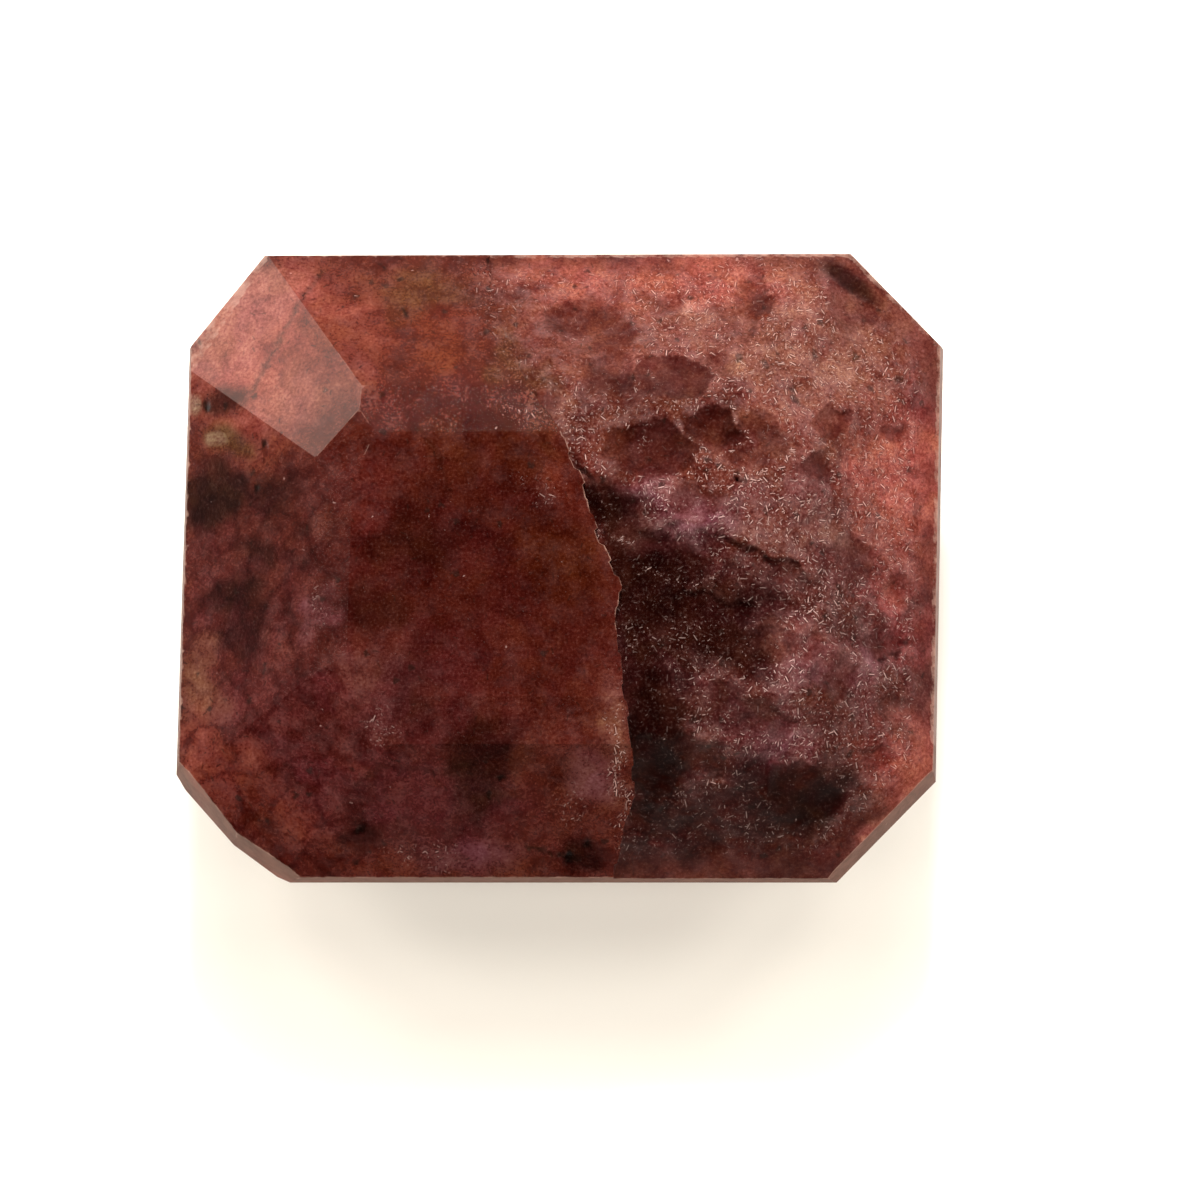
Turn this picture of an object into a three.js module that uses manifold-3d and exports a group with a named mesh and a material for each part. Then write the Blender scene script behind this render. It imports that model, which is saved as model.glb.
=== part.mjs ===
// A hand-cut rhodonite: an octagonal step-cut stone, lying crown up on its flat base facet.
// Millimetres, +Z up, +X along the stone's length. The origin is on the resting surface, under the stone.
// The stone is one solid. It is ground out of a sawn block, one flat facet after another, as on a lap.
// The +X side of the crown was never polished: along a crack it lies a little lower, as the break left it.
import * as THREE from 'three';
import { mergeVertices } from 'three/addons/utils/BufferGeometryUtils.js';
import Module from 'manifold-3d';

const wasm = await Module();
wasm.setup();

// Heights of the stone's levels above its base facet
const PAVILION_DEPTH = 2.6;
const GIRDLE_HEIGHT = 0.7;
const CROWN_HEIGHT = 1.42;
const CROWN_EDGE_Z = PAVILION_DEPTH + GIRDLE_HEIGHT;
const TABLE_Z = CROWN_EDGE_Z + CROWN_HEIGHT;

// Heights where one pavilion tier ends and the next begins
const PAVILION_STEP_Z = [PAVILION_DEPTH, 1.7, 0.8];

// How far the unpolished side of the crown lies under the polished side
const BREAK_DROP = 0.13;

// The sawn block is larger than the finished stone, and the lap is larger than both
const BLOCK = { length: 12, width: 10, height: 5.5 };
const LAP_SIZE = 40;

const STONE_COLOUR = 0x7d3f37;

// A facet is a plane: it faces the azimuth in degrees from +X, leans from level by the slope in degrees,
// and passes the stone's axis at the reach, measured level at height z. A pavilion facet looks down.
// The sides of a hand-cut outline are uneven, so each has its own numbers.
const GIRDLE = [
  { azimuth: -1.4, reach: 4.98, slope: 83 },
  { azimuth: 43.8, reach: 5.65, slope: 82 },
  { azimuth: 90.2, reach: 4.165, slope: 80 },
  { azimuth: 141.4, reach: 5.66, slope: 82 },
  { azimuth: 178.7, reach: 4.99, slope: 84 },
  { azimuth: 219.7, reach: 5.65, slope: 80 },
  { azimuth: 235.9, reach: 5.45, slope: 80 },
  { azimuth: 270, reach: 4.178, slope: 88 },
  { azimuth: 315.4, reach: 5.5, slope: 78 },
].map((facet) => ({ ...facet, z: PAVILION_DEPTH }));

const CROWN_MAIN = [
  { azimuth: -1.4, reach: 4.89, slope: 37 },
  { azimuth: 43.8, reach: 5.55, slope: 29 },
  { azimuth: 90.2, reach: 4.05, slope: 32.7 },
  { azimuth: 147, reach: 5.44, slope: 30.2 },
  { azimuth: 178.7, reach: 4.92, slope: 35.9 },
  { azimuth: 231.5, reach: 5.4, slope: 31.2 },
  { azimuth: 270, reach: 4.05, slope: 39.5 },
  { azimuth: 313, reach: 5.36, slope: 33 },
].map((facet) => ({ ...facet, z: CROWN_EDGE_Z }));

const CROWN_STEP = [
  { azimuth: -0.5, reach: 2.75, slope: 20 },
  { azimuth: 44, reach: 2.76, slope: 17 },
  { azimuth: 90.2, reach: 1.48, slope: 15.4 },
  { azimuth: 157, reach: 2.78, slope: 15.7 },
  { azimuth: 178.5, reach: 2.7, slope: 19 },
  { azimuth: 225, reach: 2.93, slope: 17 },
  { azimuth: 270, reach: 1.95, slope: 16.8 },
  { azimuth: 314, reach: 2.95, slope: 17 },
].map((facet) => ({ ...facet, z: TABLE_Z }));

// The pavilion has three tiers of eight sides. Its corners slope less, so they stay wide on the way down.
const PAVILION_SIDES = [
  { azimuth: -1.4, reach: 4.98 },
  { azimuth: 43.8, reach: 5.65, corner: true },
  { azimuth: 90.2, reach: 4.165 },
  { azimuth: 141.4, reach: 5.66, corner: true },
  { azimuth: 178.7, reach: 4.99 },
  { azimuth: 227.5, reach: 5.64, corner: true },
  { azimuth: 270, reach: 4.178 },
  { azimuth: 315.4, reach: 5.5, corner: true },
];
const PAVILION_TIERS = [
  { side: 62, corner: 58 },
  { side: 48, corner: 44 },
  { side: 33, corner: 29.5 },
];

// The crack across the crown, from the back girdle to the front, seen from above
const CRACK = [
  [-0.97, 4.6], [-0.95, 3.6], [-0.78, 3.0], [-0.62, 2.6], [-0.44, 2.15], [-0.1, 1.7], [0.12, 1.25],
  [0.31, 0.72], [0.5, 0.06], [0.68, -0.28], [0.74, -0.51], [0.73, -1.01], [0.8, -1.81], [0.91, -2.56],
  [0.94, -3.16], [0.76, -3.8], [0.58, -4.6],
];

// A three.js geometry as a closed manifold solid.
function solidOf(geometry) {
  const shape = new THREE.BufferGeometry().setAttribute('position', geometry.getAttribute('position'));
  const merged = mergeVertices(shape.setIndex(geometry.index), 1e-5);
  return new wasm.Manifold(new wasm.Mesh({
    numProp: 3,
    vertProperties: merged.getAttribute('position').array,
    triVerts: new Uint32Array(merged.index.array),
  }));
}

// A manifold solid as a flat-shaded three.js geometry.
function geometryOf(solid) {
  const mesh = solid.getMesh();
  const geometry = new THREE.BufferGeometry()
    .setAttribute('position', new THREE.BufferAttribute(mesh.vertProperties, mesh.numProp))
    .setIndex(new THREE.BufferAttribute(mesh.triVerts, 1))
    .toNonIndexed();
  geometry.computeVertexNormals();
  return geometry;
}

// The waste that one facet grinds away: a block that lies outside the facet's plane.
function waste({ azimuth, reach, slope, z, down = false }) {
  const turn = THREE.MathUtils.degToRad(azimuth);
  const lean = THREE.MathUtils.degToRad(slope);
  const outward = new THREE.Vector3(Math.cos(turn), Math.sin(turn), 0);
  const normal = outward.clone().multiplyScalar(Math.sin(lean));
  normal.z = Math.cos(lean) * (down ? -1 : 1);
  const point = outward.multiplyScalar(reach).setZ(z);
  const aim = new THREE.Quaternion().setFromUnitVectors(new THREE.Vector3(0, 0, 1), normal);
  const block = new THREE.BoxGeometry(LAP_SIZE, LAP_SIZE, LAP_SIZE)
    .translate(0, 0, LAP_SIZE / 2)
    .applyQuaternion(aim)
    .translate(point.x, point.y, point.z);
  return solidOf(block);
}

function grind(solid, facets) {
  return facets.reduce((left, facet) => left.subtract(waste(facet)), solid);
}

function sawnBlock() {
  const { length, width, height } = BLOCK;
  return solidOf(new THREE.BoxGeometry(length, width, height).translate(0, 0, height / 2));
}

// Each tier starts where the tier above ends, so its reach is worked out from the steps above it.
function pavilionFacets() {
  return PAVILION_SIDES.flatMap(({ azimuth, reach, corner }) => {
    let reachHere = reach;
    return PAVILION_TIERS.map((tier, i) => {
      const slope = corner ? tier.corner : tier.side;
      const facet = { azimuth, slope, reach: reachHere, z: PAVILION_STEP_Z[i], down: true };
      const fall = PAVILION_STEP_Z[i] - (PAVILION_STEP_Z[i + 1] ?? 0);
      reachHere -= fall / Math.tan(THREE.MathUtils.degToRad(slope));
      return facet;
    });
  });
}

// The part of the crown on the +X side of the crack, down to the girdle.
function unpolishedSide() {
  const outline = new THREE.Shape(CRACK.map(([x, y]) => new THREE.Vector2(x, y)));
  outline.lineTo(BLOCK.length, -BLOCK.width);
  outline.lineTo(BLOCK.length, BLOCK.width);
  outline.closePath();
  const depth = BLOCK.height;
  const prism = new THREE.ExtrudeGeometry(outline, { depth, bevelEnabled: false, steps: 1 });
  return solidOf(prism.translate(0, 0, PAVILION_DEPTH));
}

function rhodonite() {
  const table = { azimuth: 0, reach: 0, slope: 0, z: TABLE_Z };
  const crown = [...CROWN_MAIN, ...CROWN_STEP, table];
  const polished = grind(sawnBlock(), [...GIRDLE, ...pavilionFacets(), ...crown]);
  const sunkCrown = grind(sawnBlock(), crown.map((facet) => ({ ...facet, z: facet.z - BREAK_DROP })));
  const brokenAway = unpolishedSide().subtract(sunkCrown);
  const solid = polished.subtract(brokenAway);
  const material = new THREE.MeshStandardMaterial({ color: STONE_COLOUR, roughness: 0.3, metalness: 0 });
  const mesh = new THREE.Mesh(geometryOf(solid), material);
  mesh.name = 'rhodonite';
  return mesh;
}

const part = new THREE.Group();
part.add(rhodonite());

export default part;
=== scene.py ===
import math

import bmesh
import bpy
import numpy as np
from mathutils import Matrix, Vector, noise
from mathutils.geometry import delaunay_2d_cdt


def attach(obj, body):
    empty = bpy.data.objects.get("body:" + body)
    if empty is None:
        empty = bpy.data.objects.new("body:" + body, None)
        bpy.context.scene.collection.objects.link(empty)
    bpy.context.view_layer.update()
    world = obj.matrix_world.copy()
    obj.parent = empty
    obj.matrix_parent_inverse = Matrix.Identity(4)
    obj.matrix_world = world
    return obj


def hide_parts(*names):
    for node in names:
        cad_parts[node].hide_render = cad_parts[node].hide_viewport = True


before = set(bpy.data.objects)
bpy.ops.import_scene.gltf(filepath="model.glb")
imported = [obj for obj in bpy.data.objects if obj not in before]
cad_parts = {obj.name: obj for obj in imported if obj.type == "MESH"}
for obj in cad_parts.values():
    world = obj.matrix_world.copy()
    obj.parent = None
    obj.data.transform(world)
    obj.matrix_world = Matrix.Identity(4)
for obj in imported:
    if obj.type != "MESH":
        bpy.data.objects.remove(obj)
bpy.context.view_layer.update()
mm = 0.001  # every size below is in millimetres, and meshes are in metres


def linear(hexColour):
    channels = [int(hexColour[i:i + 2], 16) / 255 for i in (1, 3, 5)]
    return tuple(c / 12.92 if c <= 0.04045 else ((c + 0.055) / 1.055) ** 2.4 for c in channels) + (1.0,)


def addNode(tree, kind, links=None, **settings):
    node = tree.nodes.new(kind)
    for name, value in settings.items():
        setattr(node, name, value)
    for socket, value in (links or {}).items():
        if isinstance(value, bpy.types.NodeSocket):
            tree.links.new(value, node.inputs[socket])
        else:
            node.inputs[socket].default_value = value
    return node


def newMaterial(name):
    material = bpy.data.materials.new(name)
    material.use_nodes = True
    material.node_tree.nodes.clear()
    return material, material.node_tree


def smoothStep(low, high, value):
    t = np.clip((value - low) / (high - low), 0, 1)
    return t * t * (3 - 2 * t)


# Studio: a long lens almost straight above, a high key light behind, a ring of soft fill lights
studio = {
    "lens": 180.0,
    "sensor": 36.0,
    "elevation": 83.0,  # degrees above the horizon
    "aim": (0.506, -0.5265, 3.235),  # middle of the picture
    "cameraGap": 78.4,
    "floorSize": 160.0,
    "floorColour": "#f6f6f4",
    "keyColour": "#fffdfa",
    "keyAzimuth": 91.0,
    "keyOffZenith": 40.0,
    "keySize": 13.0,
    "keyRadiance": 150.0,
    "fillColour": "#fff6e8",
    "fillOffZenith": 40.0,
    "fillSize": 18.0,
    "fillRadiance": 10.7,
    "fillCount": 12,
    "fillBias": 0.2,  # the fill is stronger behind the stone than in front
    "boxColour": "#ffeadb",
    "boxes": [  # soft boxes that one facet mirrors each: azimuth, off zenith, size, radiance
        (140.5, 64.4, 34.0, 1.45),
        (90.0, 72.4, 30.0, 0.15),
        (90.0, 37.8, 14.0, 0.1),
        (171.0, 72.0, 26.0, 0.08),
        (163.0, 37.5, 17.0, 0.11),
    ],
    "lampGap": 70.0,
    "horizon": "#e9e7e4",
    "zenith": "#0e0d0d",
}


def lamp(name, colour, azimuth, offZenith, size, radiance, mirrored=True):
    light = bpy.data.lights.new(name, "AREA")
    light.shape = "DISK"
    light.size = size * mm
    light.color = linear(colour)[:3]
    light.energy = radiance * math.pi * math.pi * (size * mm / 2) ** 2
    obj = bpy.data.objects.new(name, light)
    bpy.context.scene.collection.objects.link(obj)
    a, o = math.radians(azimuth), math.radians(offZenith)
    away = Vector((math.cos(a) * math.sin(o), math.sin(a) * math.sin(o), math.cos(o)))
    obj.location = away * studio["lampGap"] * mm
    obj.rotation_euler = away.to_track_quat("Z", "Y").to_euler()
    obj.visible_glossy = mirrored  # a crossed polariser keeps this lamp's own image out of the polish


def makeStudio():
    scene = bpy.context.scene
    scene.view_settings.view_transform = "Standard"
    camera = bpy.data.cameras.new("camera")
    camera.lens = studio["lens"]
    camera.sensor_width = studio["sensor"]
    camera.clip_start = 0.005
    camera.clip_end = 5.0
    cameraObject = bpy.data.objects.new("camera", camera)
    scene.collection.objects.link(cameraObject)
    e = math.radians(studio["elevation"])
    back = Vector((0, -math.cos(e), math.sin(e)))
    cameraObject.location = (Vector(studio["aim"]) + back * studio["cameraGap"]) * mm
    cameraObject.rotation_euler = back.to_track_quat("Z", "Y").to_euler()
    scene.camera = cameraObject

    half = studio["floorSize"] / 2 * mm
    floorMesh = bpy.data.meshes.new("floor")
    corners = [(-half, -half, 0), (half, -half, 0), (half, half, 0), (-half, half, 0)]
    floorMesh.from_pydata(corners, [], [(0, 1, 2, 3)])
    floor = bpy.data.objects.new("floor", floorMesh)
    scene.collection.objects.link(floor)
    paper, tree = newMaterial("matt white paper")  # no gloss: it gives only soft shadow
    shader = addNode(tree, "ShaderNodeBsdfDiffuse", {"Color": linear(studio["floorColour"])})
    addNode(tree, "ShaderNodeOutputMaterial", {"Surface": shader.outputs[0]})
    floorMesh.materials.append(paper)

    lamp("key", studio["keyColour"], studio["keyAzimuth"], studio["keyOffZenith"], studio["keySize"],
         studio["keyRadiance"], False)
    for box in studio["boxes"]:
        lamp("box", studio["boxColour"], *box)
    for i in range(studio["fillCount"]):
        azimuth = 360 * (i + 0.5) / studio["fillCount"]
        share = 1 + studio["fillBias"] * math.sin(math.radians(azimuth))
        lamp(f"fill {i}", studio["fillColour"], azimuth, studio["fillOffZenith"],
             studio["fillSize"], studio["fillRadiance"] * share, False)

    # The room is pale at the horizon and dark overhead, where the camera stands
    world = bpy.data.worlds.new("room")
    scene.world = world
    world.use_nodes = True
    tree = world.node_tree
    tree.nodes.clear()
    place = addNode(tree, "ShaderNodeTexCoord")
    height = addNode(tree, "ShaderNodeSeparateXYZ", {0: place.outputs["Generated"]})
    ramp = addNode(tree, "ShaderNodeValToRGB", {"Fac": height.outputs["Z"]})
    ramp.color_ramp.elements[0].position = 0.05
    ramp.color_ramp.elements[0].color = linear(studio["horizon"])
    ramp.color_ramp.elements[1].position = 0.13
    ramp.color_ramp.elements[1].color = linear(studio["zenith"])
    glow = addNode(tree, "ShaderNodeBackground", {"Color": ramp.outputs["Color"], "Strength": 1.0})
    addNode(tree, "ShaderNodeOutputWorld", {"Surface": glow.outputs[0]})
    print("studio: camera, floor, lamps and room")


# Stone: the CAD facets, gridded finely enough to carry the break, the chips and the grain
stone = {
    "polishedGrid": 0.046,
    "brokenGrid": 0.034,
    "girdleGrid": 0.06,
    "pavilionGrid": 0.12,
    "edgeAngle": 10.0,  # facets that meet at more than this keep a crisp edge
    "softEdge": 0.035,  # rounding of the facet edges that were never polished
    "wallLean": 0.01,  # a facet that leans less than this is a wall of the crack
    "crownFoot": 3.25,  # points above this belong to the crown
    "polishedRim": 3.325,  # below these two heights the crown is a pale rim, partly wear and partly painted highlight
    "brokenRim": 3.195,
    "frontY": -2.4,  # nearer to the front than this the edges are darker
    "frontEdgeHex": "#7f5c4c",  # the ground girdle in front, and elsewhere paler with a painted reflection of the white floor
    "sideEdgeAndReflectionHex": "#b2938a",
    "edgingShare": 0.7,  # how far the girdle takes those colours
    "hiddenTones": 90,  # patches of colour on the sides and the base
    "seed": 11,
}


def facetFaces(node):
    faces = bmesh.new()
    faces.from_mesh(node.data)
    bmesh.ops.scale(faces, vec=(1 / mm,) * 3, verts=faces.verts)
    bmesh.ops.remove_doubles(faces, verts=faces.verts, dist=0.0005)
    bmesh.ops.dissolve_limit(faces, angle_limit=math.radians(0.3), verts=faces.verts, edges=faces.edges)
    faces.normal_update()
    faces.faces.index_update()
    faces.edges.index_update()
    faces.verts.index_update()
    return faces


def facetKinds(faces):
    walls = [face for face in faces.faces if abs(face.normal.z) < stone["wallLean"]]
    crack = np.array(sorted({(round(v.co.y, 3), round(v.co.x, 3)) for face in walls for v in face.verts}))
    kinds = []
    for face in faces.faces:
        centre = face.calc_center_median()
        if abs(face.normal.z) < stone["wallLean"]:
            kinds.append("wall")
        elif face.normal.z > 0.3:
            right = centre.x > np.interp(centre.y, crack[:, 0], crack[:, 1])
            kinds.append("broken" if right else "polished")
        else:
            kinds.append("pavilion" if face.normal.z < 0 else "girdle")
    return kinds, crack


def facetFlat(face, places):
    across = face.normal.orthogonal().normalized()
    axes = np.array([across, face.normal.cross(across)])
    start = np.array(face.verts[0].co)
    return (np.array(places) - start) @ axes.T, axes, start


def facetGrid(face, step):
    corners, axes, start = facetFlat(face, [v.co for v in face.verts])
    low, high = corners.min(0), corners.max(0)
    rowStep = step * math.sqrt(0.75)
    rows = np.arange(low[1] + rowStep / 2, high[1], rowStep)
    columns = np.arange(low[0] - step, high[0] + step, step)
    u = (columns[None, :] + (np.arange(len(rows)) % 2)[:, None] * step / 2).ravel()
    v = np.repeat(rows, len(columns))
    within = np.zeros(len(u), bool)
    gap = np.full(len(u), np.inf)
    for (x0, y0), (x1, y1) in zip(corners, np.roll(corners, -1, axis=0)):
        if y0 != y1:
            within ^= ((y0 > v) != (y1 > v)) & (u < (x1 - x0) * (v - y0) / (y1 - y0) + x0)
        length = max(math.hypot(x1 - x0, y1 - y0), 1e-9)
        t = np.clip(((u - x0) * (x1 - x0) + (v - y0) * (y1 - y0)) / length ** 2, 0, 1)
        gap = np.minimum(gap, np.hypot(u - x0 - t * (x1 - x0), v - y0 - t * (y1 - y0)))
    keep = within & (gap > 0.6 * step)
    return start + np.stack([u[keep], v[keep]], 1) @ axes


def gridStone(node):
    faces = facetFaces(node)
    kinds, crack = facetKinds(faces)
    steps = {kind: stone[kind + "Grid"] for kind in ("polished", "broken", "girdle", "pavilion")}
    steps["wall"] = stone["brokenGrid"]
    points = [tuple(v.co) for v in faces.verts]
    along = {}  # each edge's points, shared by the two facets that meet there
    for edge in faces.edges:
        step = min(steps[kinds[face.index]] for face in edge.link_faces)
        a, b = edge.verts
        count = max(1, round(edge.calc_length() / step))
        along[edge.index] = [a.index] + list(range(len(points), len(points) + count - 1)) + [b.index]
        points += [tuple(a.co.lerp(b.co, i / count)) for i in range(1, count)]

    triangles = []
    triangleKinds = []
    planes = {kind: [] for kind in steps}
    for face in faces.faces:
        kind = kinds[face.index]
        planes[kind].append((*face.normal, face.normal.dot(face.verts[0].co)))
        border = []
        for loop in face.loops:
            row = along[loop.edge.index]
            border += row[:-1] if loop.edge.verts[0] == loop.vert else row[:0:-1]
        inside = facetGrid(face, steps[kind])
        ids = border + list(range(len(points), len(points) + len(inside)))
        points += [tuple(p) for p in inside]
        flat = facetFlat(face, [points[i] for i in ids])[0]
        ring = [(i, (i + 1) % len(border)) for i in range(len(border))]
        made = delaunay_2d_cdt([Vector(p) for p in flat], ring, [], 1, 1e-6)
        back = [ids[source[0]] for source in made[3]]
        triangles += [tuple(back[i] for i in tri) for tri in made[2]]
        triangleKinds += [kind] * len(made[2])
    faces.free()
    planes = {kind: np.array(rows) for kind, rows in planes.items()}
    return np.array(points), np.array(triangles), np.array(triangleKinds), planes, crack


def heights(points, planes):
    normals, reach = planes[:, :3], planes[:, 3]
    return (reach - points[:, :2] @ normals[:, :2].T) / normals[:, 2]


def noiseOf(points, size, seed, octaves=1):
    shift = Vector((seed * 7.3, seed * 3.1, seed * 5.7))
    return np.array([noise.fractal(Vector(p) / size + shift, 1.0, 2.0, octaves) for p in points])


def warpOf(points, size, amount, seed):
    shifts = [Vector((seed * 2.9 + 9.4 * k, seed * 8.3, seed * 4.1 - 5.6 * k)) for k in range(3)]
    spots = [Vector(p) / size for p in points]
    return np.array([[noise.noise(spot + shift) for shift in shifts] for spot in spots]) * amount


# Break: what the unpolished side of the crown shows from above
breakSide = {
    "steps": [  # ledges that fall towards -Y: line, depth, how far the fall fades out
        ([(0.1, 1.3), (0.31, 1.1), (0.46, 0.94), (0.93, 0.74), (1.02, 0.42), (1.76, 0.28), (2.08, 0.18),
          (2.53, -0.02), (3.09, -0.11), (3.2, -0.3)], 0.13, 1.6),
        ([(0.55, 0.15), (1.02, -0.02), (1.06, -0.34), (1.47, -0.46), (2.0, -0.6), (2.6, -0.72)], 0.06, 1.0),
    ],
    "scoops": [  # x, y, half length, half width, turn in degrees, depth, how dark (a deeper red and painted shade), how bright its rim (a painted highlight)
        (1.15, 1.27, 0.6, 0.38, -8, 0.13, 0.55, 0.9),
        (1.95, 1.52, 0.36, 0.32, 20, 0.12, 0.45, 1.0),
        (1.5, 2.22, 0.45, 0.32, -15, 0.1, 0.55, 0.8),
        (2.0, 2.4, 0.3, 0.2, 10, 0.06, 0.3, 0.6),
        (3.5, 1.72, 0.25, 0.23, 0, 0.08, 0.45, 0.5),
        (3.26, 1.1, 0.24, 0.17, 15, 0.07, 0.45, 0.6),
        (2.8, 1.4, 0.3, 0.2, -30, 0.06, 0.25, 0.6),
        (2.45, 3.3, 0.26, 0.5, -12, 0.08, 0.3, 0.7),
        (0.9, 2.1, 0.3, 0.2, 20, 0.05, 0.25, 0.5),
        (0.35, 3.0, 0.6, 0.35, -10, 0.05, 0.25, 0.3),
        (0.62, 0.55, 0.5, 0.33, -38, 0.03, 0.35, 0.5),
        (1.05, -0.3, 0.5, 0.6, 10, 0.03, 0.3, 0.3),
        (1.15, -2.3, 0.4, 0.9, 5, 0.03, 0.3, 0.3),
        (1.55, -0.2, 0.45, 0.2, -12, 0.06, 0.3, 0.6),
        (2.75, -1.3, 0.35, 0.2, 30, 0.07, 0.3, 0.8),
        (2.6, -2.2, 0.4, 0.22, -20, 0.06, 0.25, 0.8),
        (1.6, -2.7, 0.5, 0.3, 0, 0.06, 0.25, 0.5),
        (4.15, -1.2, 0.3, 0.2, 0, 0.06, 0.3, 0.5),
        (2.31, 0.87, 0.07, 0.07, 0, 0.12, 0.6, 0.5),
        (3.1, -3.1, 0.5, 0.35, -20, 0.07, 0.4, 0.6),
        (3.88, 3.68, 0.5, 0.13, -38, 0.12, 0.5, 0.5),
        (4.3, -2.0, 0.3, 0.2, 10, 0.05, 0.25, 0.6),
    ],
    "looseScoops": [  # placed at random: how many, smallest and largest size, depth as a share of size
        (60, 0.16, 0.42, 0.2),
        (300, 0.05, 0.13, 0.2),
    ],
    "lumpSize": 0.75,
    "lumpDepth": 0.05,
    "jagSize": 0.2,
    "jag": 0.03,  # how far the crack steps to either side
}


def ellipse(x, y, patch):
    centreX, centreY, length, width, turn = patch
    c, s = math.cos(math.radians(turn)), math.sin(math.radians(turn))
    u = (x - centreX) * c + (y - centreY) * s
    v = (y - centreY) * c - (x - centreX) * s
    return np.hypot(u / length, v / width)


def flake(x, y, patch, sides):
    # Like the ellipse, but with straight sides, as a flake leaves where it breaks off
    centreX, centreY, length, width, turn = patch
    c, s = math.cos(math.radians(turn)), math.sin(math.radians(turn))
    u = ((x - centreX) * c + (y - centreY) * s) / length
    v = ((y - centreY) * c - (x - centreX) * s) / width
    return np.max([u * math.cos(a) + v * math.sin(a) for a in sides], axis=0)


def carveBreak(points, broken, crack, planes):
    rng = np.random.default_rng(stone["seed"])
    near = np.flatnonzero(broken > 0)
    spots = points[near] + warpOf(points[near], 0.3, 0.12, 1) + warpOf(points[near], 0.1, 0.05, 2)
    x, y = spots[:, 0], spots[:, 1]
    depth = np.zeros(len(near))
    smooth = np.zeros(len(near))  # inside a scoop, where the break is glassy
    crestHighlight = np.zeros(len(near))  # along a rim, where grains stand up: a painted highlight
    shade = np.zeros(len(near))  # how much darker it is: a deeper red in scoops, with painted shade on their steep side and a painted shadow under a ledge
    patchy = np.clip(0.7 + 1.1 * noiseOf(points[near], 0.3, 9), 0.15, 1)
    for line, fall, run in breakSide["steps"]:
        line = np.array(line)
        below = np.interp(x, line[:, 0], line[:, 1]) - y
        end = smoothStep(line[-1, 0] + 0.25, line[-1, 0] - 0.15, x) * patchy
        wide = 0.07 + 0.2 * smoothStep(1.8, 1.1, x)  # near the crack the ledge is only a slope
        depth += fall * smoothStep(0, wide, below) * np.exp(-np.maximum(below, 0) / run) * end
        # painted shadow under the ledge
        under = smoothStep(0, 0.05, below) * np.exp(-np.maximum(below, 0) / 0.22) * end
        shade = np.maximum(shade, under * fall / 0.13 * smoothStep(1.3, 2.0, x))
        crestHighlight = np.maximum(crestHighlight, np.exp(-((below + 0.04) / 0.05) ** 2) * end)
    scoops = list(breakSide["scoops"])
    for count, smallest, largest, share in breakSide["looseScoops"]:
        for i in range(count):
            size = rng.uniform(smallest, largest)
            width = size * rng.uniform(0.45, 0.95)
            dark = rng.uniform(0.08, 0.36) if smallest > 0.1 else 0.0
            scoops.append((*rng.uniform((-0.9, -4.0), (4.9, 4.0)), size, width, rng.uniform(0, 180),
                           size * share, dark, 2 * dark))
    for *patch, deep, dark, bright in scoops:
        away = flake(x, y, patch, np.radians(60 * np.arange(6) + rng.uniform(-22, 22, 6)))
        inside = smoothStep(1.03, 0.95, away)
        depth += deep * np.maximum(0, 1 - np.maximum(away, 0) ** 2) * (1 - 0.6 * smooth)
        right, up = (x - patch[0]) / patch[2], (y - patch[1]) / patch[2]
        steepShade = np.clip(0.75 + 0.35 * up + 0.3 * right, 0.25, 1.1)  # painted shade, heaviest where the scoop is steep: behind and on the right
        smooth = np.maximum(smooth, min(1, 2.5 * dark) * inside)
        shade = shade + dark * inside * steepShade * (1 - shade)
        lit = np.clip(0.4 + right - 0.3 * up, 0, 1)  # painted highlight on the right hand rims
        crestHighlight = np.maximum(crestHighlight, bright * lit * np.exp(-((away - 1.05) * patch[3] / 0.035) ** 2))
    depth += breakSide["lumpDepth"] * noiseOf(points[near], breakSide["lumpSize"], 3, 3)

    # Towards its two ends the crack closes, so there the broken side comes up to the polished one
    plain = heights(points[near], planes["broken"])
    drop = heights(points[near], planes["polished"]).min(1) - plain.min(1)
    beside = points[near, 0] - np.interp(points[near, 1], crack[:, 0], crack[:, 1])
    shut = 0.95 * smoothStep(1.4, 2.6, points[near, 1]) + 0.6 * smoothStep(-3.0, -3.9, points[near, 1])
    depth -= np.clip(drop, 0, 0.13) * shut * np.exp(-(beside / 1.3) ** 2)

    rim = smoothStep(3.2, 3.5, points[near, 2])  # the carving fades out at the girdle
    soft = stone["softEdge"]
    rounded = -soft * np.log(np.exp(-(plain - plain.min(1)[:, None]) / soft).sum(1))
    points[near, 2] += broken[near] * (rounded - depth * rim)

    # The crack itself steps from side to side
    crown = np.flatnonzero(points[:, 2] > stone["crownFoot"])
    beside = points[crown, 0] - np.interp(points[crown, 1], crack[:, 0], crack[:, 1])
    level = points[crown, 1]
    steps = [noise.cell(Vector((0.3, v / breakSide["jagSize"], 5.5))) for v in level]
    waves = [noise.noise(Vector((0.7, v / 0.35, 2.5))) for v in level]
    points[crown, 0] += breakSide["jag"] * (np.array(steps) + np.array(waves)) * np.exp(-(beside / 0.16) ** 2)

    full = np.zeros((3, len(points)))
    full[:, near] = np.array([smooth, crestHighlight, shade]) * rim
    return full
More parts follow.
